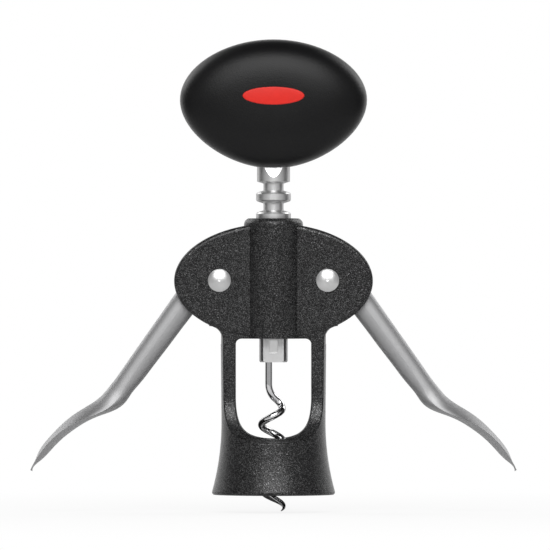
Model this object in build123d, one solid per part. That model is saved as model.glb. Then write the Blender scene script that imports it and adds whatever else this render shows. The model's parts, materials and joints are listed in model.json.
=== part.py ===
from build123d import *

import math
import os

# Winged corkscrew, in millimetres. +Z is up, the front faces -Y, and the origin is the centre of the
# bell's rim. A black casting seats on the bottle. A ringed spindle slides and turns in it, with the worm
# below and the oval handle above, and two geared levers mesh with the spindle's rings.

# Clearances and fits
OVERRUN = 3.0
SHAFT_CLEARANCE = 0.08
FLANGE_CLEARANCE = 0.1
SWING_CLEARANCE = 0.6
TOOTH_BACKLASH = 0.4
TOOTH_TIP_CLEARANCE = 0.35

# Bell and legs of the casting
RIM_RADIUS = 20.5
RIM_BAND = 1.0
RIM_CHAMFER = 0.5
MOUTH_RADIUS = 17.0
MOUTH_DEPTH = 5.0
BOTTLE_RADIUS = 15.5
SEAT_HEIGHT = 12.6
SEAT_RING_THICKNESS = 2.4
WAIST_RADIUS = 17.35
FLARE_HEIGHT = 24.0
LEG_RADIUS = 17.6
LEG_INNER_RADIUS = 13.4
LEG_HALF_DEPTH = 5.4
LEG_STEP_DROP = 1.8
LEG_STEP = 0.15
NECK_FILLET = 4.2
WINDOW_FILLET = 1.8
SADDLE_RADIUS = 16.0
SADDLE_BOTTOM = 16.8
SADDLE_EDGE_FILLET = 0.6

# Oval head and guide tube of the casting
HEAD_CENTRE_HEIGHT = 71.2
HEAD_HALF_WIDTH = 33.1
HEAD_HALF_HEIGHT = 19.2
HEAD_HALF_DEPTH = 5.95
HEAD_EDGE_FILLET = 1.3
TUBE_RADIUS = 9.85
TUBE_RISE = 21.0
TUBE_TOP_FILLET = 2.2

# Lever pivots
PIVOT_OFFSET = 18.0
PIVOT_RISE = 0.2
RIVET_RADIUS = 2.2
RIVET_HEAD_RADIUS = 3.8
RIVET_HEAD_HEIGHT = 1.7
RIVET_HEAD_EDGE = 0.5
RIVET_SPIGOT_RADIUS = 1.4
RIVET_SPIGOT_LENGTH = 0.9

# Geared spindle
RING_RADIUS = 5.8
RING_ROOT_RADIUS = 3.37
RING_TIP_WIDTH = 2.7
RING_EDGE = 0.35
RING_PITCH = 6.6
RING_FLANK_DEGREES = 18.0
RING_PHASE = 1.4
RINGS_ABOVE_PIVOT = 4
RINGS_BELOW_PIVOT = 2
COLLAR_RADIUS = 5.5
COLLAR_LENGTH = 5.05
COLLAR_FACET_DROP = 3.0
CLIP_RADIUS = 4.75
CLIP_LENGTH = 11.0
CLIP_EDGE = 0.4
CLIP_FLAT_HALF_DEPTH = 3.3
CRIMP_WIDTH = 2.6
CRIMP_HEIGHT = 4.3
CRIMP_DEPTH = 0.9
CRIMP_RISE = 3.0
TANG_LENGTH = 20.0
TANG_HALF_DEPTH = 3.6
TANG_TAPER_LENGTH = 7.5

# Lever gears, hubs and arms
GEAR_PITCH_DEPTH = 1.2
HUB_HALF_DEPTH = 3.0
TEETH_UP = 3
TEETH_DOWN = 2
FLANK_STEPS = 4
BUSH_WALL = 1.0
BUSH_FLANGE_RADIUS = 4.5
BUSH_FLANGE_THICKNESS = 0.6
BUSH_SPLIT = 0.4
LEVER_ROOT = 7.0
LEVER_LENGTH = 88.6
LEVER_REST_DEGREES = 38.4
ARM_THICKNESS = 9.0
PADDLE_WIDTH = 20.0
PADDLE_OFFSET = 10.4
# Evenly spaced from root to tip: out of the paddle's offset, thickness of the arm's, width of the paddle's,
# the part of the thickness on the outer side of the rim, and how sharp that rim is
LEVER_STATION_SHARES = (
    (0.448, 1.0, 0.3, 0.5, 0.0),
    (0.425, 0.975, 0.33, 0.5, 0.0),
    (0.402, 0.952, 0.33, 0.5, 0.0),
    (0.379, 0.931, 0.33, 0.5, 0.0),
    (0.357, 0.91, 0.33, 0.5, 0.0),
    (0.336, 0.882, 0.33, 0.5, 0.0),
    (0.314, 0.854, 0.33, 0.52, 0.0),
    (0.305, 0.804, 0.345, 0.58, 0.1),
    (0.326, 0.778, 0.44, 0.69, 0.35),
    (0.544, 0.543, 0.69, 0.8, 0.7),
    (0.779, 0.473, 0.88, 0.66, 0.9),
    (0.925, 0.42, 0.99, 0.46, 1.0),
    (0.997, 0.371, 0.98, 0.33, 1.0),
    (0.999, 0.269, 0.78, 0.25, 1.0),
    (0.942, 0.1, 0.2, 0.2, 1.0),
)
LEVER_FACE_STEPS = 12

# Guide bushes of the spindle
GUIDE_RADIUS = 7.3
GUIDE_FLANGE_RADIUS = 8.3
GUIDE_FLANGE_THICKNESS = 1.2
GUIDE_LENGTH = 7.4
GUIDE_RECESS = 0.4
GUIDE_RIB_RADIUS = 7.75
GUIDE_RIB_WIDTH = 0.8
GUIDE_RIB_INSET = 0.5

# Worm
WIRE_RADIUS = 1.165
WORM_RADIUS = 3.5
WORM_PITCH = 10.93
WORM_LEAN = -0.55
WORM_STUB_OFFSET = -1.6
WORM_STUB_LENGTH = 7.2
WORM_STUB_SOCKET = 8.0
WORM_BEND_HEIGHT = 6.0
WORM_TIP_DROP = 5.4
WORM_TIP_RADIUS = 0.12
WORM_TIP_DEGREES = -45.0
WORM_TAPER_HEIGHT = 5.465
WORM_LEAD_QUARTERS = 0.5
WORM_TAPER_STEPS = 8
WORM_PROBES = 400
QUARTERS_PER_TURN = 4
TANGENT_STEP_SHARE = 0.01

# Handle
HANDLE_HALF_WIDTH = 31.2
HANDLE_UPPER_HEIGHT = 20.2
HANDLE_LOWER_HEIGHT = 22.8
HANDLE_HALF_DEPTH = 13.5
HANDLE_UPPER_POWER = 1.95
HANDLE_LOWER_POWER = 1.82
HANDLE_DEPTH_POWER = 3.0
HANDLE_OUTLINE_POINTS = 20
HANDLE_STATIONS = 19
HANDLE_END_DEGREES = 80.0
GRIP_WALL = 3.0
BADGE_HALF_WIDTH = 10.3
BADGE_HALF_HEIGHT = 3.1
BADGE_RISE = 1.2
BADGE_DEPTH = 1.8
BADGE_PROUD = 0.25
PIN_RADIUS = 1.5
PIN_DROP = 8.0
PIN_HALF_LENGTH = 8.0

# Places worked out from the sizes above
PIVOT_HEIGHT = HEAD_CENTRE_HEIGHT + PIVOT_RISE
HEAD_BOTTOM = HEAD_CENTRE_HEIGHT - HEAD_HALF_HEIGHT
LEG_STEP_HEIGHT = HEAD_BOTTOM - LEG_STEP_DROP
TUBE_TOP = HEAD_CENTRE_HEIGHT + TUBE_RISE
SEAT_TOP = SEAT_HEIGHT + SEAT_RING_THICKNESS
SLOT_HALF_DEPTH = HUB_HALF_DEPTH + BUSH_FLANGE_THICKNESS + FLANGE_CLEARANCE
FLANK_RAD = math.radians(RING_FLANK_DEGREES)
FLANK_SLOPE = math.tan(FLANK_RAD)
RING_DEPTH = RING_RADIUS - RING_ROOT_RADIUS
RING_ROOT_WIDTH = RING_TIP_WIDTH + 2 * RING_DEPTH * FLANK_SLOPE
RACK_PITCH_RADIUS = RING_RADIUS - GEAR_PITCH_DEPTH
COLLAR_RING = RINGS_ABOVE_PIVOT + 1
CLIP_RING = -RINGS_BELOW_PIVOT - 1
GEAR_RADIUS = PIVOT_OFFSET - RACK_PITCH_RADIUS
GEAR_BASE_RADIUS = GEAR_RADIUS * math.cos(FLANK_RAD)
GEAR_ROOT_RADIUS = GEAR_RADIUS - GEAR_PITCH_DEPTH - TOOTH_TIP_CLEARANCE
GEAR_TIP_RADIUS = GEAR_RADIUS + RACK_PITCH_RADIUS - RING_ROOT_RADIUS - TOOTH_TIP_CLEARANCE
GROOVE_PITCH_WIDTH = RING_PITCH - RING_TIP_WIDTH - 2 * GEAR_PITCH_DEPTH * FLANK_SLOPE
TOOTH_HALF_ANGLE = (GROOVE_PITCH_WIDTH - TOOTH_BACKLASH) / 2 / GEAR_RADIUS
TOOTH_ANGLE = RING_PITCH / GEAR_RADIUS
TOOTH_PHASE = (RING_PITCH / 2 - RING_PHASE) / GEAR_RADIUS
BUSH_RADIUS = RIVET_RADIUS + SHAFT_CLEARANCE
GUIDE_BORE = RING_RADIUS + SHAFT_CLEARANCE
RIGHT_PIVOT = Vector(PIVOT_OFFSET, 0, PIVOT_HEIGHT)


def ring_height(index):
    """Height of the middle of one ring, counted from the first ring above the pivots."""
    return PIVOT_HEIGHT + RING_PHASE + index * RING_PITCH


COLLAR_BOTTOM = ring_height(COLLAR_RING) - RING_ROOT_WIDTH / 2
CLIP_TOP = ring_height(CLIP_RING) + RING_ROOT_WIDTH / 2
CLIP_BOTTOM = CLIP_TOP - CLIP_LENGTH
WORM_STUB_BOTTOM = CLIP_BOTTOM - WORM_STUB_LENGTH
WORM_TAPER_QUARTERS = QUARTERS_PER_TURN * WORM_TAPER_HEIGHT / WORM_PITCH
WORM_COIL_HEIGHT = WORM_STUB_BOTTOM - WORM_BEND_HEIGHT + WORM_TIP_DROP
WORM_TURNS = math.floor(WORM_COIL_HEIGHT / WORM_PITCH - WORM_LEAD_QUARTERS / QUARTERS_PER_TURN)
HANDLE_BOTTOM = COLLAR_BOTTOM + COLLAR_LENGTH
HANDLE_HEIGHT = HANDLE_BOTTOM + HANDLE_LOWER_HEIGHT
TANG_TOP = HANDLE_BOTTOM + TANG_LENGTH
BADGE_HEIGHT = HANDLE_HEIGHT + BADGE_RISE
PIN_HEIGHT = TANG_TOP - PIN_DROP


def turned(*edges):
    """Turns a closed outline of edges, drawn as (radius, height), about the spindle's axis."""
    return revolve(Plane.XZ * make_face(Curve() + list(edges)), Axis.Z)


def turned_points(*points):
    """Turns a closed outline of straight edges about the spindle's axis."""
    return turned(*Polyline(*points, close=True).edges())


def along_depth(outline, depth):
    """Runs an outline of the front view from -depth to +depth."""
    return extrude(Plane.XZ * outline, amount=depth, both=True)


def cross_cylinder(radius, near, far, pivot=Vector(0, 0, 0)):
    """A round bar along Y from near to far, through a pivot."""
    ring = Plane(origin=pivot + Vector(0, near, 0), z_dir=(0, 1, 0)) * Circle(radius)
    return extrude(ring, amount=far - near)


# Casting


def bell_and_legs():
    """The flared bell with both legs, still a closed sleeve round the worm."""
    flare_low = (RIM_RADIUS, RIM_BAND)
    flare_high = (WAIST_RADIUS, FLARE_HEIGHT)
    neck_top = HEAD_BOTTOM + NECK_FILLET
    neck_out = LEG_RADIUS + NECK_FILLET
    head_inside = HEAD_CENTRE_HEIGHT - HEAD_HALF_HEIGHT / 2
    window_corner = HEAD_BOTTOM - WINDOW_FILLET
    window_in = LEG_INNER_RADIUS - WINDOW_FILLET
    tube_inside = TUBE_RADIUS / 2
    outer = Polyline(
        (MOUTH_RADIUS, 0),
        (RIM_RADIUS - RIM_CHAMFER, 0),
        (RIM_RADIUS, RIM_CHAMFER),
        flare_low,
    )
    flare = TangentArc(flare_high, flare_low, tangent=(0, -1))
    leg = Line(flare_high, (LEG_RADIUS, HEAD_BOTTOM))
    neck = RadiusArc((LEG_RADIUS, HEAD_BOTTOM), (neck_out, neck_top), NECK_FILLET)
    top = Polyline(
        (neck_out, neck_top),
        (neck_out, head_inside),
        (tube_inside, head_inside),
        (tube_inside, HEAD_BOTTOM),
        (window_in, HEAD_BOTTOM),
    )
    window = RadiusArc((window_in, HEAD_BOTTOM), (LEG_INNER_RADIUS, window_corner), WINDOW_FILLET)
    inner = Polyline(
        (LEG_INNER_RADIUS, window_corner),
        (LEG_INNER_RADIUS, SEAT_TOP),
        (BOTTLE_RADIUS, SEAT_TOP),
        (BOTTLE_RADIUS, MOUTH_DEPTH),
        (MOUTH_RADIUS, 0),
    )
    lines = (outer, flare, leg, neck, top, window, inner)
    return turned(*[edge for line in lines for edge in line.edges()])


def saddle_cut():
    """What is cut away in front of the legs: flat above, sweeping out to the bell's face below."""
    sweep_height = SADDLE_BOTTOM + SADDLE_RADIUS
    sweep_depth = LEG_HALF_DEPTH + SADDLE_RADIUS
    far = RIM_RADIUS + SADDLE_RADIUS
    high = HEAD_CENTRE_HEIGHT
    arc = RadiusArc((LEG_HALF_DEPTH, sweep_height), (sweep_depth, SADDLE_BOTTOM), -SADDLE_RADIUS)
    rest = Polyline(
        (sweep_depth, SADDLE_BOTTOM),
        (far, SADDLE_BOTTOM),
        (far, high),
        (LEG_HALF_DEPTH, high),
        (LEG_HALF_DEPTH, sweep_height),
    )
    outline = make_face(Curve() + arc.edges() + rest.edges())
    cut = extrude(Plane.YZ * outline, amount=far, both=True)
    return cut + mirror(cut, Plane.XZ)


def saddle_border(edge):
    """Whether an edge of the cut bell runs along the saddle's border."""
    middle = edge.center()
    outside = abs(middle.Y) > LEG_HALF_DEPTH - SADDLE_EDGE_FILLET
    return outside and SADDLE_BOTTOM < middle.Z < HEAD_BOTTOM


def saddled_bell():
    """The bell and legs with the saddle cut, its borders rounded."""
    bell = bell_and_legs() - saddle_cut()
    borders = bell.edges().filter_by(saddle_border).filter_by(Axis.X, reverse=True)
    return fillet(borders, SADDLE_EDGE_FILLET)


def oval_head():
    """The oval head with rounded front and back edges."""
    head = along_depth(Ellipse(HEAD_HALF_WIDTH, HEAD_HALF_HEIGHT), HEAD_HALF_DEPTH)
    head = fillet(head.edges().filter_by(GeomType.ELLIPSE), HEAD_EDGE_FILLET)
    return Pos(0, 0, HEAD_CENTRE_HEIGHT) * head


def guide_tube():
    """The round guide tube through the head, rounded at its top."""
    shoulder = TUBE_TOP - TUBE_TOP_FILLET
    flat = TUBE_RADIUS - TUBE_TOP_FILLET
    walls = Polyline((flat, TUBE_TOP), (0, TUBE_TOP), (0, HEAD_BOTTOM), (TUBE_RADIUS, HEAD_BOTTOM))
    side = Line((TUBE_RADIUS, HEAD_BOTTOM), (TUBE_RADIUS, shoulder))
    corner = RadiusArc((TUBE_RADIUS, shoulder), (flat, TUBE_TOP), -TUBE_TOP_FILLET)
    return turned(*walls.edges(), *side.edges(), *corner.edges())


def lever_slots():
    """Room between the head's plates for both gears and for the arms' swing."""
    inner = LEG_RADIUS - LEG_STEP
    height = TUBE_TOP - LEG_STEP_HEIGHT + OVERRUN
    width = HEAD_HALF_WIDTH - inner + OVERRUN
    side = Box(width, 2 * SLOT_HALF_DEPTH, height, align=(Align.MIN, Align.CENTER, Align.MIN))
    gear = cross_cylinder(
        GEAR_TIP_RADIUS + SWING_CLEARANCE, -SLOT_HALF_DEPTH, SLOT_HALF_DEPTH, RIGHT_PIVOT
    )
    right = Pos(inner, 0, LEG_STEP_HEIGHT) * side + gear
    return right + mirror(right, Plane.YZ)


def guide_pocket():
    """The bored seat of the upper guide bush, open at the tube's top."""
    low = TUBE_TOP - GUIDE_RECESS - GUIDE_LENGTH
    rib = low + GUIDE_RIB_INSET
    return (
        bar(GUIDE_RADIUS + SHAFT_CLEARANCE, low - FLANGE_CLEARANCE, TUBE_TOP + OVERRUN)
        + bar(GUIDE_FLANGE_RADIUS + SHAFT_CLEARANCE, guide_flange_low(), TUBE_TOP + OVERRUN)
        + bar(
            GUIDE_RIB_RADIUS + SHAFT_CLEARANCE,
            rib - FLANGE_CLEARANCE,
            rib + GUIDE_RIB_WIDTH + FLANGE_CLEARANCE,
        )
    )


def guide_flange_low():
    """Height of the seat under the upper guide bush's flange."""
    return TUBE_TOP - GUIDE_RECESS - GUIDE_FLANGE_THICKNESS - FLANGE_CLEARANCE


def bar(radius, low, high):
    """A round bar on the spindle's axis."""
    return Pos(0, 0, low) * Cylinder(radius, high - low, align=(Align.CENTER, Align.CENTER, Align.MIN))


def flipped(shape):
    """The lower guide's shape from the upper one's, turned over about the tube's middle."""
    middle = (TUBE_TOP + HEAD_BOTTOM) / 2
    return mirror(shape, Plane.XY.offset(middle))


def body_casting():
    """Bell, legs, head and guide tube in one casting."""
    body = saddled_bell() + oval_head() + guide_tube()
    body -= lever_slots()
    body -= bar(RING_RADIUS + SWING_CLEARANCE, HEAD_BOTTOM - OVERRUN, TUBE_TOP + OVERRUN)
    body -= guide_pocket() + flipped(guide_pocket())
    for side in (-1, 1):
        pivot = Vector(side * PIVOT_OFFSET, 0, PIVOT_HEIGHT)
        reach = HEAD_HALF_DEPTH + OVERRUN
        body -= cross_cylinder(RIVET_RADIUS, -reach, reach, pivot)
    return body


def bottle_seat_ring():
    """The nylon ring that the bottle's lip stops against."""
    ring = bar(BOTTLE_RADIUS, SEAT_HEIGHT, SEAT_TOP)
    return ring - bar(LEG_INNER_RADIUS, SEAT_HEIGHT - OVERRUN, SEAT_TOP + OVERRUN)


# Pivot rivets


def rivet_dome(base):
    """A domed head on the front face, drawn about the pivot and turned about Y."""
    edge = base + RIVET_HEAD_EDGE
    crown = base + RIVET_HEAD_HEIGHT
    sides = Polyline((0, crown), (0, base), (RIVET_HEAD_RADIUS, base), (RIVET_HEAD_RADIUS, edge))
    dome = TangentArc((0, crown), (RIVET_HEAD_RADIUS, edge), tangent=(1, 0))
    outline = make_face(Curve() + sides.edges() + dome.edges())
    solid = revolve(outline, Axis.Y)
    return mirror(solid, Plane.XZ)


def rivet_post(pivot):
    """The front rivet: a domed head, the post through the head's plates and a spigot behind."""
    shank = cross_cylinder(RIVET_RADIUS, -HEAD_HALF_DEPTH, HEAD_HALF_DEPTH)
    spigot = cross_cylinder(
        RIVET_SPIGOT_RADIUS, HEAD_HALF_DEPTH, HEAD_HALF_DEPTH + RIVET_SPIGOT_LENGTH
    )
    return Pos(*pivot) * (rivet_dome(HEAD_HALF_DEPTH) + shank + spigot)


def rivet_cap(pivot):
    """The rear domed cap, pressed onto the post's spigot."""
    cap = mirror(rivet_dome(HEAD_HALF_DEPTH), Plane.XZ)
    socket = cross_cylinder(
        RIVET_SPIGOT_RADIUS, HEAD_HALF_DEPTH, HEAD_HALF_DEPTH + RIVET_SPIGOT_LENGTH
    )
    return Pos(*pivot) * (cap - socket)


# Levers


def involute(angle):
    """The involute function of a pressure angle in radians."""
    return math.tan(angle) - angle


def tooth_half_angle(radius):
    """Half the angle that a gear tooth spans at a radius on or above the base circle."""
    at_base = TOOTH_HALF_ANGLE + involute(FLANK_RAD)
    return at_base - involute(math.acos(min(1, GEAR_BASE_RADIUS / radius)))


def polar(radius, angle):
    """A point of the front view at an angle from +X towards +Z."""
    return (radius * math.cos(angle), radius * math.sin(angle))


def gear_tooth(angle):
    """One tooth with involute flanks, drawn about the pivot in the front view."""
    foot = GEAR_ROOT_RADIUS - TOOTH_TIP_CLEARANCE
    step = (GEAR_TIP_RADIUS - GEAR_BASE_RADIUS) / FLANK_STEPS
    radii = [GEAR_BASE_RADIUS + step * i for i in range(FLANK_STEPS + 1)]
    low, high = [
        [polar(r, angle + side * tooth_half_angle(r)) for r in radii] for side in (-1, 1)
    ]
    base_angle = tooth_half_angle(GEAR_BASE_RADIUS)
    low_foot, high_foot = [polar(foot, angle + side * base_angle) for side in (-1, 1)]
    flanks = [*Spline(*low).edges(), *Spline(*high).edges()]
    ends = Polyline(low[0], low_foot, high_foot, high[0])
    return make_face(Curve() + flanks + ends.edges() + Line(low[-1], high[-1]).edges())


def gear_sector():
    """The lever's round hub with its teeth, in step with the spindle's rings at rest."""
    outline = Circle(GEAR_ROOT_RADIUS)
    for index in range(-TEETH_UP, TEETH_DOWN + 1):
        outline += gear_tooth(math.pi + TOOTH_PHASE + index * TOOTH_ANGLE)
    return along_depth(outline, HUB_HALF_DEPTH)


def arm_station(index):
    """Middle of one station of the hanging arm, from the pivot."""
    along = index / (len(LEVER_STATION_SHARES) - 1)
    out = LEVER_STATION_SHARES[index][0] * PADDLE_OFFSET
    return Vector(out, 0, -LEVER_ROOT - (LEVER_LENGTH - LEVER_ROOT) * along)


def lever_face(rim, depth, half_width, sharp):
    """One face of a section of the arm, from rim to rim: half an oval, or with a sharp rim half a lens."""
    points = []
    for step in range(LEVER_FACE_STEPS + 1):
        angle = math.pi * (step / LEVER_FACE_STEPS - 1 / 2)
        rise = (1 - sharp) * math.cos(angle) + sharp * math.cos(angle) ** 2
        points.append((rim + depth * rise, half_width * math.sin(angle)))
    return Spline(*points)


def arm_section(thickness, half_width, outer, sharp):
    """A section of the arm, its two faces meeting on the rims."""
    rim = thickness / 2 - thickness * outer
    out = lever_face(rim, thickness * outer, half_width, sharp)
    back = lever_face(rim, thickness * (outer - 1), half_width, sharp)
    return make_face(Curve() + out.edges() + back.edges())


def lever_arm():
    """The arm and its thumb paddle, hanging straight down from the pivot."""
    last = len(LEVER_STATION_SHARES) - 1
    sections = []
    for index, (_, thickness, width, outer, sharp) in enumerate(LEVER_STATION_SHARES):
        run = arm_station(min(index + 1, last)) - arm_station(max(index - 1, 0))
        outwards = Vector(-run.Z, 0, run.X)
        plane = Plane(origin=arm_station(index), x_dir=outwards, z_dir=run)
        section = arm_section(thickness * ARM_THICKNESS, width * PADDLE_WIDTH / 2, outer, sharp)
        sections.append(plane * section)
    return loft(sections)


def right_lever():
    """The right lever as it stands at rest."""
    lever = gear_sector() + Rot(0, -LEVER_REST_DEGREES, 0) * lever_arm()
    hole = BUSH_RADIUS + BUSH_WALL
    lever -= cross_cylinder(hole, -HUB_HALF_DEPTH - OVERRUN, HUB_HALF_DEPTH + OVERRUN)
    return Pos(*RIGHT_PIVOT) * lever


def lever_bush(side, pivot):
    """A flanged nylon bush pressed into one face of a lever's hub."""
    face = side * HUB_HALF_DEPTH
    flange = face + side * BUSH_FLANGE_THICKNESS
    inner = side * BUSH_SPLIT / 2
    bush = cross_cylinder(BUSH_FLANGE_RADIUS, face, flange, pivot)
    bush += cross_cylinder(BUSH_RADIUS + BUSH_WALL, inner, face, pivot)
    return bush - cross_cylinder(BUSH_RADIUS, inner - side * OVERRUN, flange + side * OVERRUN, pivot)


# Spindle and its guides


def upper_guide_bush():
    """The flanged nylon bush that guides the spindle at the tube's top."""
    high = TUBE_TOP - GUIDE_RECESS
    low = high - GUIDE_LENGTH
    rib = low + GUIDE_RIB_INSET
    bush = bar(GUIDE_RADIUS, low, high)
    bush += bar(GUIDE_FLANGE_RADIUS, high - GUIDE_FLANGE_THICKNESS, high)
    bush += bar(GUIDE_RIB_RADIUS, rib, rib + GUIDE_RIB_WIDTH)
    return bush - bar(GUIDE_BORE, low - OVERRUN, high + OVERRUN)


def spindle_ring(index):
    """One ring of the spindle's rack, with sloped flanks and eased corners."""
    middle = ring_height(index)
    half_root = RING_ROOT_WIDTH / 2
    half_tip = RING_TIP_WIDTH / 2
    eased = half_tip + RING_EDGE * FLANK_SLOPE
    shoulder = RING_RADIUS - RING_EDGE
    return turned_points(
        (0, middle - half_root),
        (RING_ROOT_RADIUS, middle - half_root),
        (shoulder, middle - eased),
        (RING_RADIUS, middle - half_tip + RING_EDGE),
        (RING_RADIUS, middle + half_tip - RING_EDGE),
        (shoulder, middle + eased),
        (RING_ROOT_RADIUS, middle + half_root),
        (0, middle + half_root),
    )


def tang_flat():
    """What the front flat of the tang takes off the collar: sloped below, upright above."""
    start = HANDLE_BOTTOM - COLLAR_FACET_DROP
    upright = start + TANG_TAPER_LENGTH
    far = COLLAR_RADIUS + OVERRUN
    outline = Polyline(
        (-COLLAR_RADIUS, start),
        (-TANG_HALF_DEPTH, upright),
        (-TANG_HALF_DEPTH, TANG_TOP + OVERRUN),
        (-far, TANG_TOP + OVERRUN),
        (-far, start),
        close=True,
    )
    return extrude(Plane.YZ * make_face(outline), amount=far, both=True)


def clip_flat():
    """What the front flat of the worm's clip takes off."""
    low = CLIP_BOTTOM - OVERRUN
    high = HEAD_BOTTOM + WINDOW_FILLET
    depth = CLIP_RADIUS - CLIP_FLAT_HALF_DEPTH + OVERRUN
    cut = Box(2 * CLIP_RADIUS, depth, high - low, align=(Align.CENTER, Align.MAX, Align.MIN))
    return Pos(0, -CLIP_FLAT_HALF_DEPTH, low) * cut


def crimp():
    """The wedge-shaped punch mark that pinches the worm in its clip."""
    low = CLIP_BOTTOM + CRIMP_RISE
    outline = Polyline(
        (-CLIP_FLAT_HALF_DEPTH, low + CRIMP_HEIGHT),
        (-CLIP_FLAT_HALF_DEPTH + CRIMP_DEPTH, low),
        (-CLIP_FLAT_HALF_DEPTH - OVERRUN, low),
        close=True,
    )
    return extrude(Plane.YZ * make_face(outline), amount=CRIMP_WIDTH / 2, both=True)


def rack_spindle():
    """The ringed spindle from the worm's clip to the tang inside the handle."""
    collar_slope = (COLLAR_RADIUS - RING_ROOT_RADIUS) * FLANK_SLOPE
    spindle = turned_points(
        (0, CLIP_BOTTOM),
        (CLIP_RADIUS - CLIP_EDGE, CLIP_BOTTOM),
        (CLIP_RADIUS, CLIP_BOTTOM + CLIP_EDGE),
        (CLIP_RADIUS, CLIP_TOP - (CLIP_RADIUS - RING_ROOT_RADIUS) * FLANK_SLOPE),
        (RING_ROOT_RADIUS, CLIP_TOP),
        (RING_ROOT_RADIUS, COLLAR_BOTTOM),
        (COLLAR_RADIUS, COLLAR_BOTTOM + collar_slope),
        (COLLAR_RADIUS, TANG_TOP),
        (0, TANG_TOP),
    )
    for index in range(-RINGS_BELOW_PIVOT, RINGS_ABOVE_PIVOT + 1):
        spindle += spindle_ring(index)
    for flat in (tang_flat(), clip_flat()):
        spindle -= flat + mirror(flat, Plane.XZ)
    spindle -= crimp()
    spindle -= worm_stub(CLIP_BOTTOM - OVERRUN)
    return spindle - cross_pin()


# Worm


def worm_stub(low):
    """The worm's straight upper end, from a height up into its socket in the clip."""
    high = CLIP_BOTTOM + WORM_STUB_SOCKET
    return Pos(WORM_STUB_OFFSET, 0, 0) * bar(WIRE_RADIUS, low, high)


def helix_point(quarters):
    """A point of the worm's middle line, in quarter turns up from its tip."""
    rise = quarters * WORM_PITCH / QUARTERS_PER_TURN
    angle = math.radians(WORM_TIP_DEGREES) + quarters * math.pi / 2
    lean = WORM_LEAN * quarters / (QUARTERS_PER_TURN * WORM_TURNS)
    x, y = polar(WORM_RADIUS, angle)
    return Vector(x + lean, y, rise - WORM_TIP_DROP)


def helix_tangent(quarters):
    """The direction of the worm's middle line, going down."""
    above = helix_point(quarters + TANGENT_STEP_SHARE)
    return (helix_point(quarters - TANGENT_STEP_SHARE) - above).normalized()


def biarc(start, start_way, end, end_way):
    """Two arcs that leave start and reach end along the given directions."""
    span = end - start
    ways = start_way + end_way
    spread = 1 - start_way.dot(end_way)
    along = span.dot(ways)
    reach = (math.sqrt(along**2 + 2 * spread * span.dot(span)) - along) / (2 * spread)
    first = start + start_way * reach
    second = end - end_way * reach
    middle = (first + second) / 2
    return [
        TangentArc(start, middle, tangent=start_way),
        TangentArc(middle, end, tangent=second - first),
    ]


def worm_path():
    """The worm's middle line from its clip to where the tip begins to taper."""
    stub_top = Vector(WORM_STUB_OFFSET, 0, CLIP_BOTTOM + WORM_STUB_SOCKET)
    stub_end = Vector(WORM_STUB_OFFSET, 0, WORM_STUB_BOTTOM)
    quarters = QUARTERS_PER_TURN * WORM_TURNS + WORM_LEAD_QUARTERS
    path = [Line(stub_top, stub_end)]
    path += biarc(stub_end, Vector(0, 0, -1), helix_point(quarters), helix_tangent(quarters))
    while quarters > WORM_TAPER_QUARTERS:
        lower = max(quarters - 1, WORM_TAPER_QUARTERS)
        path += biarc(
            helix_point(quarters), helix_tangent(quarters), helix_point(lower), helix_tangent(lower)
        )
        quarters = lower
    return path


def worm_section(quarters, radius):
    """A round section of the worm, square to its middle line."""
    way = helix_tangent(quarters)
    plane = Plane(origin=helix_point(quarters), x_dir=Vector(0, 0, 1).cross(way), z_dir=way)
    return plane * Circle(radius)


def worm():
    """The wire worm: a straight stub, its turns and a pointed tip."""
    path = worm_path()
    wire = Wire([edge for piece in path for edge in piece.edges()])
    start = Plane(origin=wire @ 0, z_dir=wire % 0)
    tube = sweep(start * Circle(WIRE_RADIUS), path=wire)
    print_worm_facts(wire, tube)
    tip = []
    for index in range(WORM_TAPER_STEPS + 1):
        share = index / WORM_TAPER_STEPS
        radius = WIRE_RADIUS + (WORM_TIP_RADIUS - WIRE_RADIUS) * share**2
        tip.append(worm_section(WORM_TAPER_QUARTERS * (1 - share), radius))
    return tube + loft(tip)


def print_worm_facts(wire, tube):
    """Prints the worm's least gap to itself, and its volume beside section times length."""
    points = [wire @ (i / WORM_PROBES) for i in range(WORM_PROBES + 1)]
    apart = math.ceil(WORM_PROBES * WORM_PITCH / wire.length)
    nearest = min((b - a).length for i, a in enumerate(points) for b in points[i + apart :])
    print("worm least gap to itself", round(nearest - 2 * WIRE_RADIUS, 2))
    expected = math.pi * WIRE_RADIUS**2 * wire.length
    print("worm volume over section times length", round(tube.volume / expected, 4))


# Handle


def signed_power(value, power):
    """A power that keeps the value's sign."""
    return math.copysign(abs(value) ** power, value)


def outline_point(index, grow):
    """A point of the handle's oval, fuller above and more pointed towards the spindle."""
    angle = 2 * math.pi * index / HANDLE_OUTLINE_POINTS
    across, up = math.cos(angle), math.sin(angle)
    power = HANDLE_UPPER_POWER if up > 0 else HANDLE_LOWER_POWER
    height = HANDLE_UPPER_HEIGHT if up > 0 else HANDLE_LOWER_HEIGHT
    return (
        (HANDLE_HALF_WIDTH + grow) * signed_power(across, 2 / power),
        (height + grow) * signed_power(up, 2 / power),
    )


def pebble(grow):
    """The handle's rounded oval, grown all round or, with a negative value, shrunk."""
    points = [outline_point(i, grow) for i in range(HANDLE_OUTLINE_POINTS)]
    end = math.radians(HANDLE_END_DEGREES)
    sections = []
    for station in range(HANDLE_STATIONS):
        angle = end * (2 * station / (HANDLE_STATIONS - 1) - 1)
        depth = (HANDLE_HALF_DEPTH + grow) * signed_power(math.sin(angle), 2 / HANDLE_DEPTH_POWER)
        share = math.cos(angle) ** (2 / HANDLE_DEPTH_POWER)
        plane = Plane(origin=(0, depth, HANDLE_HEIGHT), x_dir=(1, 0, 0), z_dir=(0, -1, 0))
        outline = Spline(*[(x * share, z * share) for x, z in points], periodic=True)
        sections.append(plane * make_face(outline))
    return loft(sections)


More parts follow.
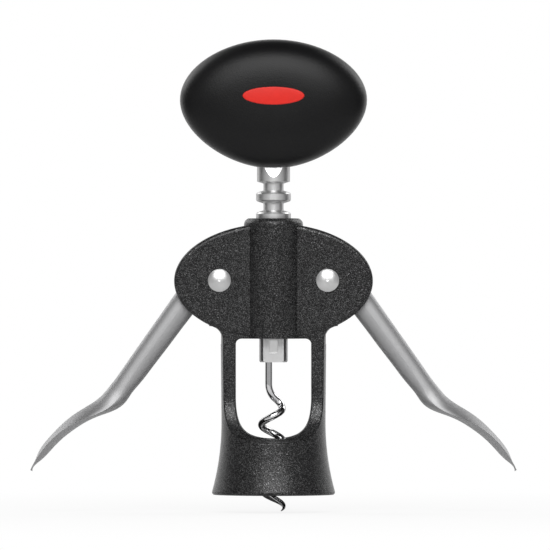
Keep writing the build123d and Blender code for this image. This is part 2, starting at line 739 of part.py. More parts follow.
def badge_plug(depth_out):
    """An oval plug in the handle's front face."""
    floor = HANDLE_HALF_DEPTH - BADGE_DEPTH
    plane = Plane(origin=(0, -floor, BADGE_HEIGHT), x_dir=(1, 0, 0), z_dir=(0, -1, 0))
    return extrude(plane * Ellipse(BADGE_HALF_WIDTH, BADGE_HALF_HEIGHT), amount=depth_out)


def cross_pin():
    """The pin that holds the handle's core on the spindle's tang."""
    return cross_cylinder(PIN_RADIUS, -PIN_HALF_LENGTH, PIN_HALF_LENGTH, Vector(0, 0, PIN_HEIGHT))


def handle_badge():
    """The oval badge, a little proud of the grip's front."""
    return badge_plug(BADGE_DEPTH + OVERRUN) & pebble(BADGE_PROUD)


def handle_core(spindle):
    """The moulded core inside the grip, with the tang's socket and the pin's hole."""
    return pebble(-GRIP_WALL) - spindle - cross_pin()


def handle_grip(spindle):
    """The soft grip moulded round the core."""
    return pebble(0) - pebble(-GRIP_WALL) - spindle - badge_plug(BADGE_DEPTH + OVERRUN)


def make_parts():
    """Every node of the corkscrew by name."""
    spindle = rack_spindle()
    lever = right_lever()
    guide = upper_guide_bush()
    parts = {
        "body_casting": body_casting(),
        "bottle_seat_ring": bottle_seat_ring(),
        "upper_guide_bush": guide,
        "lower_guide_bush": flipped(guide),
        "rack_spindle": spindle,
        "worm": worm(),
        "handle_core": handle_core(spindle),
        "handle_grip": handle_grip(spindle),
        "handle_badge": handle_badge(),
        "handle_cross_pin": cross_pin(),
        "right_lever": lever,
        "left_lever": mirror(lever, Plane.YZ),
    }
    for name, side in (("left", -1), ("right", 1)):
        pivot = Vector(side * PIVOT_OFFSET, 0, PIVOT_HEIGHT)
        parts[f"{name}_rivet_post"] = rivet_post(pivot)
        parts[f"{name}_rivet_cap"] = rivet_cap(pivot)
        parts[f"{name}_lever_front_bush"] = lever_bush(-1, pivot)
        parts[f"{name}_lever_rear_bush"] = lever_bush(1, pivot)
    return parts


os.makedirs("parts", exist_ok=True)
for node, shape in make_parts().items():
    export_step(shape, f"parts/{node}.step")
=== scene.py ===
import json
import math

import bpy
from bpy.props import FloatProperty, FloatVectorProperty, IntProperty, PointerProperty
from bpy.types import Operator, Panel, PropertyGroup
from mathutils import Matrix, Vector

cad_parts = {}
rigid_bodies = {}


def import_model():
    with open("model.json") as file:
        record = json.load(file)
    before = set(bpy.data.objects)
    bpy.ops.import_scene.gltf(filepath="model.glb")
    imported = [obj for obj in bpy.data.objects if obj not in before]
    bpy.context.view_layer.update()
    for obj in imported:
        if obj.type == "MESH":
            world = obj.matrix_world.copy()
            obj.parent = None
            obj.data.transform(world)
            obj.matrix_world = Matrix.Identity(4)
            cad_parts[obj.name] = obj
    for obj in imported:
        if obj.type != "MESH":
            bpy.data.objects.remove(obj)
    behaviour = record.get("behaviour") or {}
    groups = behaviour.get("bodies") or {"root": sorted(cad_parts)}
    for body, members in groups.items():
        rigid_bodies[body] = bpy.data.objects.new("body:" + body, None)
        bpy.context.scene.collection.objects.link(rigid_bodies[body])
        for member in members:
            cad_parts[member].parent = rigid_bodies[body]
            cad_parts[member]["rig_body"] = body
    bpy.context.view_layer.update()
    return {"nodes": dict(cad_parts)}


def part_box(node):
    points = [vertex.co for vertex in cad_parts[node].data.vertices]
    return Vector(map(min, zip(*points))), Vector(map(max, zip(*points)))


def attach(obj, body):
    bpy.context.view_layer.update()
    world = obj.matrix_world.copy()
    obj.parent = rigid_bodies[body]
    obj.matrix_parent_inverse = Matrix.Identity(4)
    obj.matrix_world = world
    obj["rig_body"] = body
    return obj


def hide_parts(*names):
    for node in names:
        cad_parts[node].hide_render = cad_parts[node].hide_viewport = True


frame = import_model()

bl_info = {
    "name": "Winged Corkscrew",
    "version": (1, 0, 0),
    "blender": (4, 5, 0),
    "location": "3D View > Sidebar > Corkscrew",
    "description": "Finishes, soft grip, badge and photo stage for a winged corkscrew",
    "category": "Object",
}

GRIP_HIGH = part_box("handle_grip")[1]
BADGE_LOW, BADGE_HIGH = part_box("handle_badge")
WORM_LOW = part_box("worm")[0]

# The two sides, and the sign of x on each
SIDES = {"left": -1, "right": 1}

ORIGIN = (0.0, 0.0, 0.0)
QUARTER_TURN = math.radians(90.0)
WHITE = (1.0, 1.0, 1.0, 1.0)

# How finely the modelled pieces are divided, and where their rings and insets end
MERGE_DISTANCE = 0.000002
GRIP_CURVE_STEPS = 24
GRIP_LAST_RING = math.radians(84.0)
BADGE_POINTS = 72
BADGE_EDGE_STEPS = 5
BADGE_CREASE = math.radians(40.0)
FLOOR_POINTS = 96
FLOOR_INSET = 0.5

# Ramps from the middle of a fleck and of the floor outwards, as pairs of place and level
FLECK_FADE = ((0.2, 1.0), (0.6, 0.0))
FLOOR_FADE = ((0.1, 0.88), (0.8, 1.0))

# The room from front to back, as places from 0 to 1, and the ceiling's edge as a height from -1 to 1
FRONT_END = 0.3
GAP_START = 0.44
GAP_END = 0.66
BACKDROP_START = 0.84
CEILING_START = 0.35
CEILING_END = 0.65

CAMERA_REACH = 20.0

# Places of the colour sockets on a Mix node, which has several sockets of one name
MIX_FACTOR = 0
MIX_FIRST = 6
MIX_SECOND = 7
MIX_RESULT = 2


# Settings


class GripSizes(PropertyGroup):
    """Sizes of the soft grip and its badge."""

    half_width: FloatProperty(
        name="Half width",
        description="From the spindle's axis to the grip's side",
        default=GRIP_HIGH.x,
        unit="LENGTH",
    )
    upper_height: FloatProperty(
        name="Upper height",
        description="From the widest line to the grip's top",
        default=0.0202,
        unit="LENGTH",
    )
    lower_height: FloatProperty(
        name="Lower height",
        description="From the widest line to where the oval would close below",
        default=0.0228,
        unit="LENGTH",
    )
    half_depth: FloatProperty(
        name="Half depth",
        description="From the middle plane to the front of the oval",
        default=0.0135,
        unit="LENGTH",
    )
    upper_fullness: FloatProperty(
        name="Upper fullness",
        description="Length of the outline's upper handles, as a part of its half sizes",
        default=0.536,
        subtype="FACTOR",
    )
    lower_fullness: FloatProperty(
        name="Lower fullness",
        description="Length of the outline's lower handles, as a part of its half sizes",
        default=0.488,
        subtype="FACTOR",
    )
    roundness: FloatProperty(
        name="Roundness",
        description="Power of the section from rim to front: 2 is an ellipse, more is squarer",
        default=3.0,
    )
    rings: IntProperty(
        name="Rings",
        description="Rings of faces from the rim to the front",
        default=24,
    )
    badge_edge: FloatProperty(
        name="Badge edge",
        description="Radius of the badge's rounded edge",
        default=0.0005,
        unit="LENGTH",
    )


class FinishColours(PropertyGroup):
    """Base colours of the finishes."""

    casting: FloatVectorProperty(
        name="Casting paint",
        description="Sand-textured black paint of the casting",
        default=(0.005, 0.005, 0.0053),
        subtype="COLOR",
    )
    casting_fleck: FloatVectorProperty(
        name="Paint fleck",
        description="Raised grains of the paint that catch the light",
        default=(0.27, 0.27, 0.273),
        subtype="COLOR",
    )
    grip: FloatVectorProperty(
        name="Soft grip",
        description="Matt black rubber of the grip",
        default=(0.0045, 0.0045, 0.0048),
        subtype="COLOR",
    )
    badge: FloatVectorProperty(
        name="Badge",
        description="Red of the bare oval badge",
        default=(0.8, 0.026, 0.017),
        subtype="COLOR",
    )
    lever: FloatVectorProperty(
        name="Lever satin",
        description="Satin plating of the levers",
        default=(0.44, 0.44, 0.445),
        subtype="COLOR",
    )
    spindle: FloatVectorProperty(
        name="Turned steel",
        description="Turned steel of the ringed spindle",
        default=(0.8, 0.8, 0.8),
        subtype="COLOR",
    )
    rivet: FloatVectorProperty(
        name="Rivet steel",
        description="Bright satin steel of the rivets",
        default=(0.75, 0.75, 0.75),
        subtype="COLOR",
    )
    chrome: FloatVectorProperty(
        name="Worm chrome",
        description="Polished wire of the worm",
        default=(0.82, 0.82, 0.83),
        subtype="COLOR",
    )
    nylon: FloatVectorProperty(
        name="Nylon",
        description="Dark moulded nylon of the bushes and the bottle seat",
        default=(0.03, 0.03, 0.031),
        subtype="COLOR",
    )
    floor: FloatVectorProperty(
        name="Floor",
        description="Pale floor under the corkscrew",
        default=(0.75, 0.75, 0.75),
        subtype="COLOR",
    )


class StageSizes(PropertyGroup):
    """Camera, floor and lights."""

    camera_distance: FloatProperty(
        name="Camera distance",
        description="From the spindle's axis to the camera",
        default=3.2,
        unit="LENGTH",
    )
    field_width: FloatProperty(
        name="Field width",
        description="Width of the picture at the spindle's axis",
        default=0.1833,
        unit="LENGTH",
    )
    view_centre: FloatVectorProperty(
        name="View centre",
        description="Point in the middle of the picture",
        default=(0.0005, 0.0, 0.0732),
        subtype="TRANSLATION",
    )
    sensor_width: FloatProperty(
        name="Sensor width",
        description="Width of the camera's sensor in millimetres",
        default=36.0,
    )
    floor_radius: FloatProperty(
        name="Floor radius",
        description="Radius of the round floor",
        default=0.4,
        unit="LENGTH",
    )
    floor_gap: FloatProperty(
        name="Floor gap",
        description="From the worm's tip down to the floor",
        default=0.0004,
        unit="LENGTH",
    )
    key_power: FloatProperty(
        name="Key light",
        description="Power of the wide soft light above the camera",
        default=27.0,
        unit="POWER",
    )
    key_distance: FloatProperty(
        name="Key distance",
        description="From the view centre to the key light",
        default=1.7,
        unit="LENGTH",
    )
    key_rise: FloatProperty(
        name="Key rise",
        description="Angle of the key light above the level of the camera",
        default=math.radians(37.0),
        subtype="ANGLE",
    )
    key_size: FloatVectorProperty(
        name="Key size",
        description="Width and height of the key light",
        default=(1.5, 1.1),
        size=2,
        subtype="XYZ_LENGTH",
    )
    side_power: FloatProperty(
        name="Side lights",
        description="Power of each of the two soft lights high at the sides",
        default=6.0,
        unit="POWER",
    )
    side_offset: FloatVectorProperty(
        name="Side offset",
        description="From the view centre to the right side light",
        default=(1.0, 0.7, 0.8),
        subtype="TRANSLATION",
    )
    side_size: FloatProperty(
        name="Side size",
        description="Width and height of each side light",
        default=0.9,
        unit="LENGTH",
    )
    room_level: FloatProperty(
        name="Room level",
        description="Brightness of the room as a light",
        default=0.2,
    )
    front_level: FloatProperty(
        name="Front level",
        description="Brightness of the room in front, as shiny pieces show it",
        default=0.42,
    )
    gap_level: FloatProperty(
        name="Gap level",
        description="Brightness of the dark gap between the front of the room and the white backdrop",
        default=0.06,
    )


SETTINGS = (
    ("corkscrew_grip", GripSizes),
    ("corkscrew_colours", FinishColours),
    ("corkscrew_stage", StageSizes),
)


# Shader maths


class Signal:
    """A shader socket that takes part in Python arithmetic."""

    def __init__(self, graph, socket):
        self.graph = graph
        self.socket = socket

    def combine(self, operation, first, second):
        """One Math node on two signals or numbers."""
        node = self.graph.add("ShaderNodeMath", {"operation": operation}, {0: first, 1: second})
        return self.graph.take(node, 0)

    def __add__(self, other):
        return self.combine("ADD", self, other)

    def __radd__(self, other):
        return self.combine("ADD", other, self)

    def __sub__(self, other):
        return self.combine("SUBTRACT", self, other)

    def __rsub__(self, other):
        return self.combine("SUBTRACT", other, self)

    def __mul__(self, other):
        return self.combine("MULTIPLY", self, other)

    def __rmul__(self, other):
        return self.combine("MULTIPLY", other, self)

    def __truediv__(self, other):
        return self.combine("DIVIDE", self, other)

    def __rtruediv__(self, other):
        return self.combine("DIVIDE", other, self)

    def __pow__(self, other):
        return self.combine("POWER", self, other)

    def __rpow__(self, other):
        return self.combine("POWER", other, self)


class Graph:
    """A node tree that is filled one node at a time."""

    def __init__(self, tree):
        self.tree = tree
        self.tree.nodes.clear()

    def add(self, kind, settings, sockets):
        """Adds a node, sets it up, and then feeds its sockets with values or links."""
        node = self.tree.nodes.new(kind)
        for key, value in settings.items():
            if key == "stops":
                self.set_stops(node.color_ramp, value)
            else:
                setattr(node, key, value)
        for key, value in sockets.items():
            self.feed(node.inputs[key], value)
        return node

    def set_stops(self, ramp, stops):
        """Gives a ramp its grey stops, as pairs of place and level."""
        while len(ramp.elements) < len(stops):
            ramp.elements.new(1.0)
        for element, (position, level) in zip(ramp.elements, stops):
            element.position = position
            element.color = (level, level, level, 1.0)

    def feed(self, socket, value):
        """Links a signal or another node's socket, or sets a plain value."""
        if isinstance(value, Signal):
            self.tree.links.new(value.socket, socket)
        elif isinstance(value, bpy.types.NodeSocket):
            self.tree.links.new(value, socket)
        else:
            socket.default_value = value

    def take(self, node, output):
        """One of a node's outputs as a signal."""
        return Signal(self, node.outputs[output])

    def looked_at(self):
        """One for rays that come straight from the camera, also through clear pieces."""
        path = self.add("ShaderNodeLightPath", {}, {})
        return self.take(path, "Is Camera Ray") + self.take(path, "Is Transmission Ray")

    def mirrored(self):
        """One for rays that come from shiny pieces."""
        return self.take(self.add("ShaderNodeLightPath", {}, {}), "Is Glossy Ray")

    def place(self):
        """The piece's own coordinates, in metres."""
        return self.add("ShaderNodeTexCoord", {}, {}).outputs["Object"]

    def stretched(self, scale):
        """The piece's coordinates, stretched along its axes."""
        return self.add("ShaderNodeMapping", {}, {"Vector": self.place(), "Scale": scale}).outputs[0]

    def noise(self, vector, *, scale, detail):
        """Soft noise from 0 to 1."""
        sockets = {"Vector": vector, "Scale": scale, "Detail": detail}
        return self.take(self.add("ShaderNodeTexNoise", {}, sockets), 0)

    def cells(self, vector, *, scale):
        """Distance to the middle of the nearest cell, and a value of its own for every cell."""
        node = self.add("ShaderNodeTexVoronoi", {}, {"Vector": vector, "Scale": scale})
        tones = self.add("ShaderNodeSeparateColor", {}, {"Color": node.outputs["Color"]})
        return self.take(node, "Distance"), self.take(tones, "Red")

    def ramp(self, value, *stops):
        """A grey level that follows a value, by pairs of place and level."""
        node = self.add("ShaderNodeValToRGB", {"stops": stops}, {"Fac": value})
        return self.take(node, "Color")

    def blend(self, factor, first, second):
        """A colour between two others."""
        sockets = {MIX_FACTOR: factor, MIX_FIRST: (*first, 1.0), MIX_SECOND: (*second, 1.0)}
        return self.take(self.add("ShaderNodeMix", {"data_type": "RGBA"}, sockets), MIX_RESULT)

    def bump(self, height, *, depth, strength):
        """A normal that is tilted by the slope of a height."""
        sockets = {"Height": height, "Distance": depth, "Strength": strength}
        return self.take(self.add("ShaderNodeBump", {}, sockets), "Normal")

    def mix(self, factor, first, second):
        """A shader between two others."""
        sockets = {0: factor, 1: first.outputs[0], 2: second.outputs[0]}
        return self.add("ShaderNodeMixShader", {}, sockets)


def toned(colour, share):
    """A colour made darker or paler."""
    return tuple(share * value for value in colour)


def new_material(name):
    """A new material, and the graph that fills its node tree."""
    material = bpy.data.materials.new(name)
    material.use_nodes = True
    return material, Graph(material.node_tree)


def new_finish(name, build, colours):
    """A material whose nodes one function lays out: it returns the values of the surface's sockets."""
    material, graph = new_material(name)
    surface = graph.add("ShaderNodeBsdfPrincipled", {}, build(graph, colours))
    graph.add("ShaderNodeOutputMaterial", {}, {"Surface": surface.outputs[0]})
    return material


# Finishes


def sand_paint(graph, colours):
    """Black paint with a coarse sand texture whose grains catch the light."""
    place = graph.place()
    grain = graph.noise(place, scale=2600.0, detail=0.0)
    patches = graph.noise(place, scale=60.0, detail=2.0)
    distance, tone = graph.cells(place, scale=3800.0)
    dots = graph.ramp(distance, *FLECK_FADE) * tone**2
    return {
        "Base Color": graph.blend(dots, colours.casting, colours.casting_fleck),
        "Metallic": dots,
        "Roughness": 0.22 + patches * 0.1,
        "Normal": graph.bump(grain, depth=0.00009, strength=1.0),
        "Specular IOR Level": 0.3,
    }


def soft_rubber(graph, colours):
    """Matt soft-touch rubber with a fine skin and faint handling marks."""
    place = graph.place()
    skin = graph.noise(place, scale=2600.0, detail=2.0)
    marks = graph.noise(place, scale=55.0, detail=3.0)
    return {
        "Base Color": graph.blend(marks, colours.grip, toned(colours.grip, 1.5)),
        "Roughness": 0.33 + marks * 0.08,
        "Normal": graph.bump(skin, depth=0.00009, strength=0.6),
        "Specular IOR Level": 0.21,
        "Sheen Weight": 0.1,
        "Sheen Roughness": 0.3,
    }


def red_gloss(graph, colours):
    """Moulded red plastic with a faint ripple."""
    ripple = graph.noise(graph.place(), scale=420.0, detail=2.0)
    return {
        "Base Color": graph.blend(ripple, colours.badge, toned(colours.badge, 0.86)),
        "Roughness": 0.4 + ripple * 0.1,
        "Normal": graph.bump(ripple, depth=0.00005, strength=0.4),
        "Specular IOR Level": 0.3,
    }


def satin_plating(graph, colours):
    """Satin nickel on cast levers: a blasted skin with slow changes of sheen."""
    place = graph.place()
    blast = graph.noise(place, scale=2600.0, detail=3.0)
    cloud = graph.noise(place, scale=48.0, detail=3.0)
    return {
        "Base Color": graph.blend(cloud, colours.lever, toned(colours.lever, 0.9)),
        "Metallic": 1.0,
        "Roughness": 0.53 + blast * 0.06 + cloud * 0.04,
        "Normal": graph.bump(blast, depth=0.000004, strength=0.5),
    }


def turned_steel(graph, colours):
    """Steel turned on a lathe: fine rings about the axis and a soft sheen."""
    rings = graph.noise(graph.stretched((40.0, 40.0, 5200.0)), scale=1.0, detail=3.0)
    cloud = graph.noise(graph.place(), scale=160.0, detail=2.0)
    return {
        "Base Color": graph.blend(rings, colours.spindle, toned(colours.spindle, 0.86)),
        "Metallic": 1.0,
        "Roughness": 0.28 + rings * 0.1 + cloud * 0.06,
        "Normal": graph.bump(rings, depth=0.00003, strength=0.5),
        "Specular Tint": (0.45, 0.45, 0.45, 1.0),
    }


def rivet_satin(graph, colours):
    """Bright rivet heads with a light tumble finish."""
    place = graph.place()
    tumble = graph.noise(place, scale=1300.0, detail=3.0)
    cloud = graph.noise(place, scale=380.0, detail=2.0)
    return {
        "Base Color": graph.blend(cloud, colours.rivet, toned(colours.rivet, 0.82)),
        "Metallic": 1.0,
        "Roughness": 0.32 + tumble * 0.12,
        "Normal": graph.bump(tumble, depth=0.00004, strength=0.5),
    }


def polished_wire(graph, colours):
    """Polished wire with the faint draw marks of its die."""
    draw = graph.noise(graph.stretched((2600.0, 2600.0, 120.0)), scale=1.0, detail=2.0)
    smudge = graph.noise(graph.place(), scale=240.0, detail=2.0)
    return {
        "Base Color": graph.blend(smudge, colours.chrome, toned(colours.chrome, 0.88)),
        "Metallic": 1.0,
        "Roughness": 0.07 + smudge * 0.08,
        "Normal": graph.bump(draw, depth=0.00001, strength=0.3),
        "Specular Tint": (0.3, 0.3, 0.3, 1.0),
    }


def moulded_nylon(graph, colours):
    """Dark moulded nylon with a fine mould grain."""
    place = graph.place()
    mould = graph.noise(place, scale=1500.0, detail=2.0)
    flow = graph.noise(place, scale=110.0, detail=2.0)
    return {
        "Base Color": graph.blend(flow, colours.nylon, toned(colours.nylon, 1.4)),
        "Roughness": 0.42 + mould * 0.15,
        "Normal": graph.bump(mould, depth=0.00003, strength=0.5),
    }


# Making pieces


def let_go():
    """Leaves edit mode with nothing selected."""
    if bpy.context.mode != "OBJECT":
        bpy.ops.object.mode_set(mode="OBJECT")
    bpy.ops.object.select_all(action="DESELECT")


def hold(piece):
    """Makes one piece the only selected and active one."""
    let_go()
    piece.select_set(True)
    bpy.context.view_layer.objects.active = piece


def edit(piece):
    """Opens a piece in edit mode with all of it selected."""
    hold(piece)
    bpy.ops.object.mode_set(mode="EDIT")
    bpy.ops.mesh.select_all(action="SELECT")


def apply_modifier(piece, kind, **settings):
    """Adds one modifier with its settings and applies it."""
    hold(piece)
    modifier = piece.modifiers.new(kind.title(), kind)
    for key, value in settings.items():
        setattr(modifier, key, value)
    bpy.ops.object.modifier_apply(modifier=modifier.name)


def close_skin(piece):
    """Merges doubled points and turns all faces outwards."""
    edit(piece)
    bpy.ops.mesh.remove_doubles(threshold=MERGE_DISTANCE)
    bpy.ops.mesh.normals_make_consistent(inside=False)
    bpy.ops.object.mode_set(mode="OBJECT")


def wear(piece, material):
    """Gives a piece one finish all over."""
    piece.data.materials.clear()
    piece.data.materials.append(material)


def dress_nodes(nodes, material):
    """Gives CAD nodes one finish all over."""
    for name in nodes:
        wear(frame["nodes"][name], material)


def stand_in(piece, node):
    """Puts a modelled piece in place of a CAD node, on that node's body."""
    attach(piece, frame["nodes"][node]["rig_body"])
    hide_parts(node)


# Operators


class CORKSCREW_OT_casting(Operator):
    """Paints the casting"""

    bl_idname = "corkscrew.casting"
    bl_label = "Casting"

    def execute(self, context):
        paint = new_finish("sand_paint", sand_paint, context.scene.corkscrew_colours)
        dress_nodes(("body_casting",), paint)
        return {"FINISHED"}


class CORKSCREW_OT_levers(Operator):
    """Plates the levers and finishes their rivets"""

    bl_idname = "corkscrew.levers"
    bl_label = "Levers and Rivets"

    def execute(self, context):
        colours = context.scene.corkscrew_colours
        levers = [f"{side}_lever" for side in SIDES]
        dress_nodes(levers, new_finish("satin_plating", satin_plating, colours))
        rivets = [f"{side}_rivet_{end}" for side in SIDES for end in ("post", "cap")]
        dress_nodes(rivets, new_finish("rivet_satin", rivet_satin, colours))
        return {"FINISHED"}


class CORKSCREW_OT_spindle(Operator):
    """Finishes the ringed spindle and the worm"""

    bl_idname = "corkscrew.spindle"
    bl_label = "Spindle and Worm"

    def execute(self, context):
        colours = context.scene.corkscrew_colours
        steel = new_finish("turned_steel", turned_steel, colours)
        dress_nodes(("rack_spindle", "handle_cross_pin"), steel)
        dress_nodes(("worm",), new_finish("polished_wire", polished_wire, colours))
        return {"FINISHED"}


class CORKSCREW_OT_bushes(Operator):
    """Finishes the nylon bushes, the bottle seat and the handle's core"""

    bl_idname = "corkscrew.bushes"
    bl_label = "Bushes and Seat"

    def execute(self, context):
        bushes = [f"{side}_lever_{end}_bush" for side in SIDES for end in ("front", "rear")]
        bushes += ["upper_guide_bush", "lower_guide_bush", "bottle_seat_ring", "handle_core"]
        dress_nodes(bushes, new_finish("moulded_nylon", moulded_nylon, context.scene.corkscrew_colours))
        return {"FINISHED"}


class CORKSCREW_OT_grip(Operator):
    """Models the soft grip from its outline, ring by ring"""

    bl_idname = "corkscrew.grip"
    bl_label = "Soft Grip"

    def execute(self, context):
        sizes = context.scene.corkscrew_grip
        middle = Vector((0.0, 0.0, GRIP_HIGH.z - sizes.upper_height))
        grip = self.outline(sizes, middle)
        self.raise_front(grip, sizes, middle)
        apply_modifier(
            grip,
            "MIRROR",
            use_axis=(False, True, False),
            use_mirror_merge=True,
            merge_threshold=MERGE_DISTANCE,
        )
        close_skin(grip)
        hold(grip)
        bpy.ops.object.shade_smooth()
        wear(grip, new_finish("soft_rubber", soft_rubber, context.scene.corkscrew_colours))
        stand_in(grip, "handle_grip")
        return {"FINISHED"}

    def outline(self, sizes, middle):
        """The grip's oval in its middle plane, drawn with four curve points."""
        let_go()
        bpy.ops.curve.primitive_bezier_circle_add(radius=1.0)
        curve = bpy.context.object
        curve.data.resolution_u = GRIP_CURVE_STEPS
        for point in curve.data.splines[0].bezier_points:
            across = round(point.co.x)
            up = round(point.co.y)
            height = sizes.upper_height if up > 0 else sizes.lower_height
            spot = middle + Vector((across * sizes.half_width, 0.0, up * height))
            point.handle_left_type = "FREE"
            point.handle_right_type = "FREE"
            before = point.handle_left - point.co
            after = point.handle_right - point.co
            point.co = spot
            point.handle_left = spot + self.reach(before, up, sizes)
            point.handle_right = spot + self.reach(after, up, sizes)
        bpy.ops.object.convert(target="MESH")
        grip = bpy.context.object
        grip.name = "soft_grip"
        return grip

    def reach(self, way, up, sizes):
        """Where a handle of the outline ends: the upper half is fuller than the lower one."""
        across = round(way.normalized().x)
        rise = round(way.normalized().y)
        upper = rise > 0 or up > 0
        fullness = sizes.upper_fullness if upper else sizes.lower_fullness
        height = sizes.upper_height if upper else sizes.lower_height
        return Vector((across * sizes.half_width, 0.0, rise * height)) * fullness

    def raise_front(self, grip, sizes, middle):
        """Draws the outline forwards ring by ring, each smaller than the last, and closes the front."""
        edit(grip)
        depth = 0.0
        share = 1.0
        for ring in range(1, sizes.rings + 1):
            angle = GRIP_LAST_RING * ring / sizes.rings
            next_depth = sizes.half_depth * math.sin(angle) ** (2 / sizes.roundness)
            next_share = math.cos(angle) ** (2 / sizes.roundness)
            forwards = {"value": (0.0, depth - next_depth, 0.0)}
            bpy.ops.mesh.extrude_edges_move(TRANSFORM_OT_translate=forwards)
            shrink = next_share / share
            bpy.ops.transform.resize(value=(shrink, 1.0, shrink), center_override=middle)
            depth = next_depth
            share = next_share
        bpy.ops.mesh.edge_face_add()
        bpy.ops.object.mode_set(mode="OBJECT")


class CORKSCREW_OT_badge(Operator):
    """Models the bare oval badge with a rounded edge"""

    bl_idname = "corkscrew.badge"
    bl_label = "Badge"

    def execute(self, context):
        edge = context.scene.corkscrew_grip.badge_edge
        middle = (BADGE_LOW + BADGE_HIGH) / 2
        half = (BADGE_HIGH - BADGE_LOW) / 2
        forwards = {"value": (0.0, BADGE_LOW.y - BADGE_HIGH.y, 0.0)}
        let_go()
        bpy.ops.mesh.primitive_circle_add(vertices=BADGE_POINTS, radius=1.0, fill_type="NGON")
        badge = context.object
        badge.name = "oval_badge"
        edit(badge)
        bpy.ops.transform.rotate(value=QUARTER_TURN, orient_axis="X", center_override=ORIGIN)
        bpy.ops.transform.resize(value=(half.x, 1.0, half.z), center_override=ORIGIN)
        bpy.ops.transform.translate(value=(middle.x, BADGE_HIGH.y, middle.z))
        bpy.ops.mesh.extrude_region_move(TRANSFORM_OT_translate=forwards)
        bpy.ops.mesh.bevel(offset=edge, segments=BADGE_EDGE_STEPS, affect="EDGES")
        bpy.ops.object.mode_set(mode="OBJECT")
        close_skin(badge)
        hold(badge)
        bpy.ops.object.shade_smooth_by_angle(angle=BADGE_CREASE)
        wear(badge, new_finish("red_gloss", red_gloss, context.scene.corkscrew_colours))
        stand_in(badge, "handle_badge")
        return {"FINISHED"}


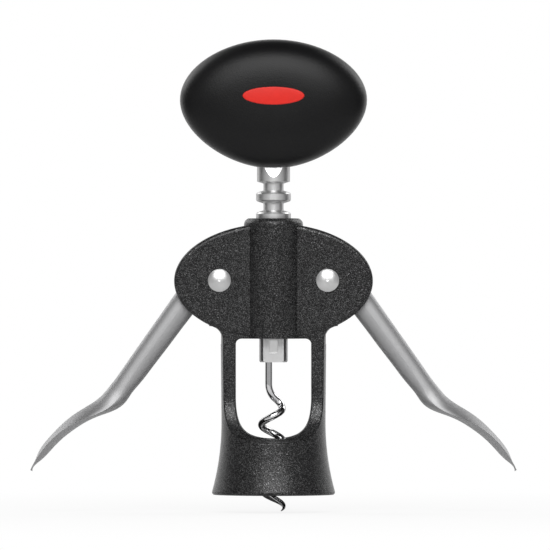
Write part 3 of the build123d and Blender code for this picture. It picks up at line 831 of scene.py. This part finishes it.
class CORKSCREW_OT_stage(Operator):
    """Sets up the floor, the lights, the room and the camera"""

    bl_idname = "corkscrew.stage"
    bl_label = "Photo Stage"

    def execute(self, context):
        sizes = context.scene.corkscrew_stage
        context.scene.view_settings.view_transform = "Standard"
        self.lay_floor(sizes, context.scene.corkscrew_colours)
        centre = Vector(sizes.view_centre)
        key_way = Vector((0.0, -math.cos(sizes.key_rise), math.sin(sizes.key_rise)))
        key_away = key_way * sizes.key_distance
        self.hang_light("key_light", centre, key_away, sizes.key_size, sizes.key_power)
        square = (sizes.side_size, sizes.side_size)
        for side, sign in SIDES.items():
            away = Vector(sizes.side_offset) * Vector((sign, 1, 1))
            self.hang_light(f"{side}_light", centre, away, square, sizes.side_power)
        self.paint_room(context.scene, sizes)
        self.aim_camera(context.scene, sizes, centre)
        return {"FINISHED"}

    def lay_floor(self, sizes, colours):
        """A round pale floor under the worm's tip."""
        let_go()
        height = WORM_LOW.z - sizes.floor_gap
        bpy.ops.mesh.primitive_circle_add(
            vertices=FLOOR_POINTS, radius=sizes.floor_radius, fill_type="NGON"
        )
        floor = bpy.context.object
        floor.name = "floor"
        edit(floor)
        bpy.ops.transform.translate(value=(0.0, 0.0, height))
        bpy.ops.mesh.inset(thickness=sizes.floor_radius * FLOOR_INSET)
        bpy.ops.object.mode_set(mode="OBJECT")
        wear(floor, self.floor_finish(sizes, colours))

    def floor_finish(self, sizes, colours):
        """A matt floor that fades into the white room away from the corkscrew."""
        material, graph = new_material("pale_floor")
        place = graph.place()
        length = graph.add("ShaderNodeVectorMath", {"operation": "LENGTH"}, {0: place})
        radius = graph.take(length, "Value")
        mottle = graph.noise(place, scale=30.0, detail=2.0)
        colour = graph.blend(mottle, colours.floor, toned(colours.floor, 0.97))
        dull = {"Base Color": colour, "Roughness": 1.0, "Specular IOR Level": 0.0}
        matt = graph.add("ShaderNodeBsdfPrincipled", {}, dull)
        white = graph.add("ShaderNodeEmission", {}, {"Color": WHITE, "Strength": 1.0})
        fade = graph.ramp(radius / sizes.floor_radius, *FLOOR_FADE)
        mixed = graph.mix(graph.looked_at() * fade, matt, white)
        graph.add("ShaderNodeOutputMaterial", {}, {"Surface": mixed.outputs[0]})
        return material

    def hang_light(self, name, centre, away, size, power):
        """A soft rectangular light that faces the corkscrew."""
        let_go()
        bpy.ops.object.light_add(type="AREA", location=centre + away)
        lamp = bpy.context.object
        lamp.name = name
        lamp.data.shape = "RECTANGLE"
        lamp.data.size, lamp.data.size_y = size
        lamp.data.energy = power
        lamp.rotation_euler = away.to_track_quat("Z", "Y").to_euler()

    def paint_room(self, scene, sizes):
        """A white backdrop behind the corkscrew, a dark gap round it and a dim room in front."""
        scene.world = bpy.data.worlds.new("studio")
        scene.world.use_nodes = True
        graph = Graph(scene.world.node_tree)
        way = graph.add("ShaderNodeTexCoord", {}, {}).outputs["Generated"]
        parts = graph.add("ShaderNodeSeparateXYZ", {}, {0: way})
        depth = graph.ramp(
            graph.take(parts, "Y") * 0.5 + 0.5,
            (FRONT_END, sizes.front_level),
            (GAP_START, sizes.gap_level),
            (GAP_END, sizes.gap_level),
            (BACKDROP_START, 1.0),
        )
        height = graph.take(parts, "Z")
        below_ceiling = graph.ramp(height, (CEILING_START, 1.0), (CEILING_END, sizes.gap_level))

        def background(colour, strength):
            return graph.add("ShaderNodeBackground", {}, {"Color": colour, "Strength": strength})

        light = background(WHITE, sizes.room_level)
        shown = background(depth * below_ceiling, 1.0)
        backdrop = background(WHITE, 1.0)
        room = graph.mix(graph.mirrored(), light, shown)
        mixed = graph.mix(graph.looked_at(), room, backdrop)
        graph.add("ShaderNodeOutputWorld", {}, {"Surface": mixed.outputs[0]})

    def aim_camera(self, scene, sizes, centre):
        """A level camera in front of the corkscrew."""
        let_go()
        bpy.ops.object.camera_add(location=centre - Vector((0.0, sizes.camera_distance, 0.0)))
        camera = bpy.context.object
        camera.rotation_euler = (QUARTER_TURN, 0.0, 0.0)
        camera.data.sensor_width = sizes.sensor_width
        camera.data.lens = sizes.sensor_width * sizes.camera_distance / sizes.field_width
        camera.data.clip_end = CAMERA_REACH
        scene.camera = camera


OPERATORS = (
    CORKSCREW_OT_stage,
    CORKSCREW_OT_casting,
    CORKSCREW_OT_levers,
    CORKSCREW_OT_spindle,
    CORKSCREW_OT_bushes,
    CORKSCREW_OT_grip,
    CORKSCREW_OT_badge,
)


class CORKSCREW_PT_panel(Panel):
    """Steps that dress the corkscrew"""

    bl_idname = "CORKSCREW_PT_panel"
    bl_label = "Winged Corkscrew"
    bl_space_type = "VIEW_3D"
    bl_region_type = "UI"
    bl_category = "Corkscrew"

    def draw(self, context):
        for step in OPERATORS:
            self.layout.operator(step.bl_idname)
        for name, group in SETTINGS:
            box = self.layout.box()
            for key in group.__annotations__:
                box.prop(getattr(context.scene, name), key)


CLASSES = tuple(group for _, group in SETTINGS) + OPERATORS + (CORKSCREW_PT_panel,)


def register():
    for item in CLASSES:
        bpy.utils.register_class(item)
    for name, group in SETTINGS:
        setattr(bpy.types.Scene, name, PointerProperty(type=group))


def unregister():
    for name, _ in SETTINGS:
        delattr(bpy.types.Scene, name)
    for item in reversed(CLASSES):
        bpy.utils.unregister_class(item)


def main():
    register()
    bpy.ops.corkscrew.stage()
    bpy.ops.corkscrew.casting()
    bpy.ops.corkscrew.levers()
    bpy.ops.corkscrew.spindle()
    bpy.ops.corkscrew.bushes()
    bpy.ops.corkscrew.grip()
    bpy.ops.corkscrew.badge()


if __name__ == "__main__":
    main()
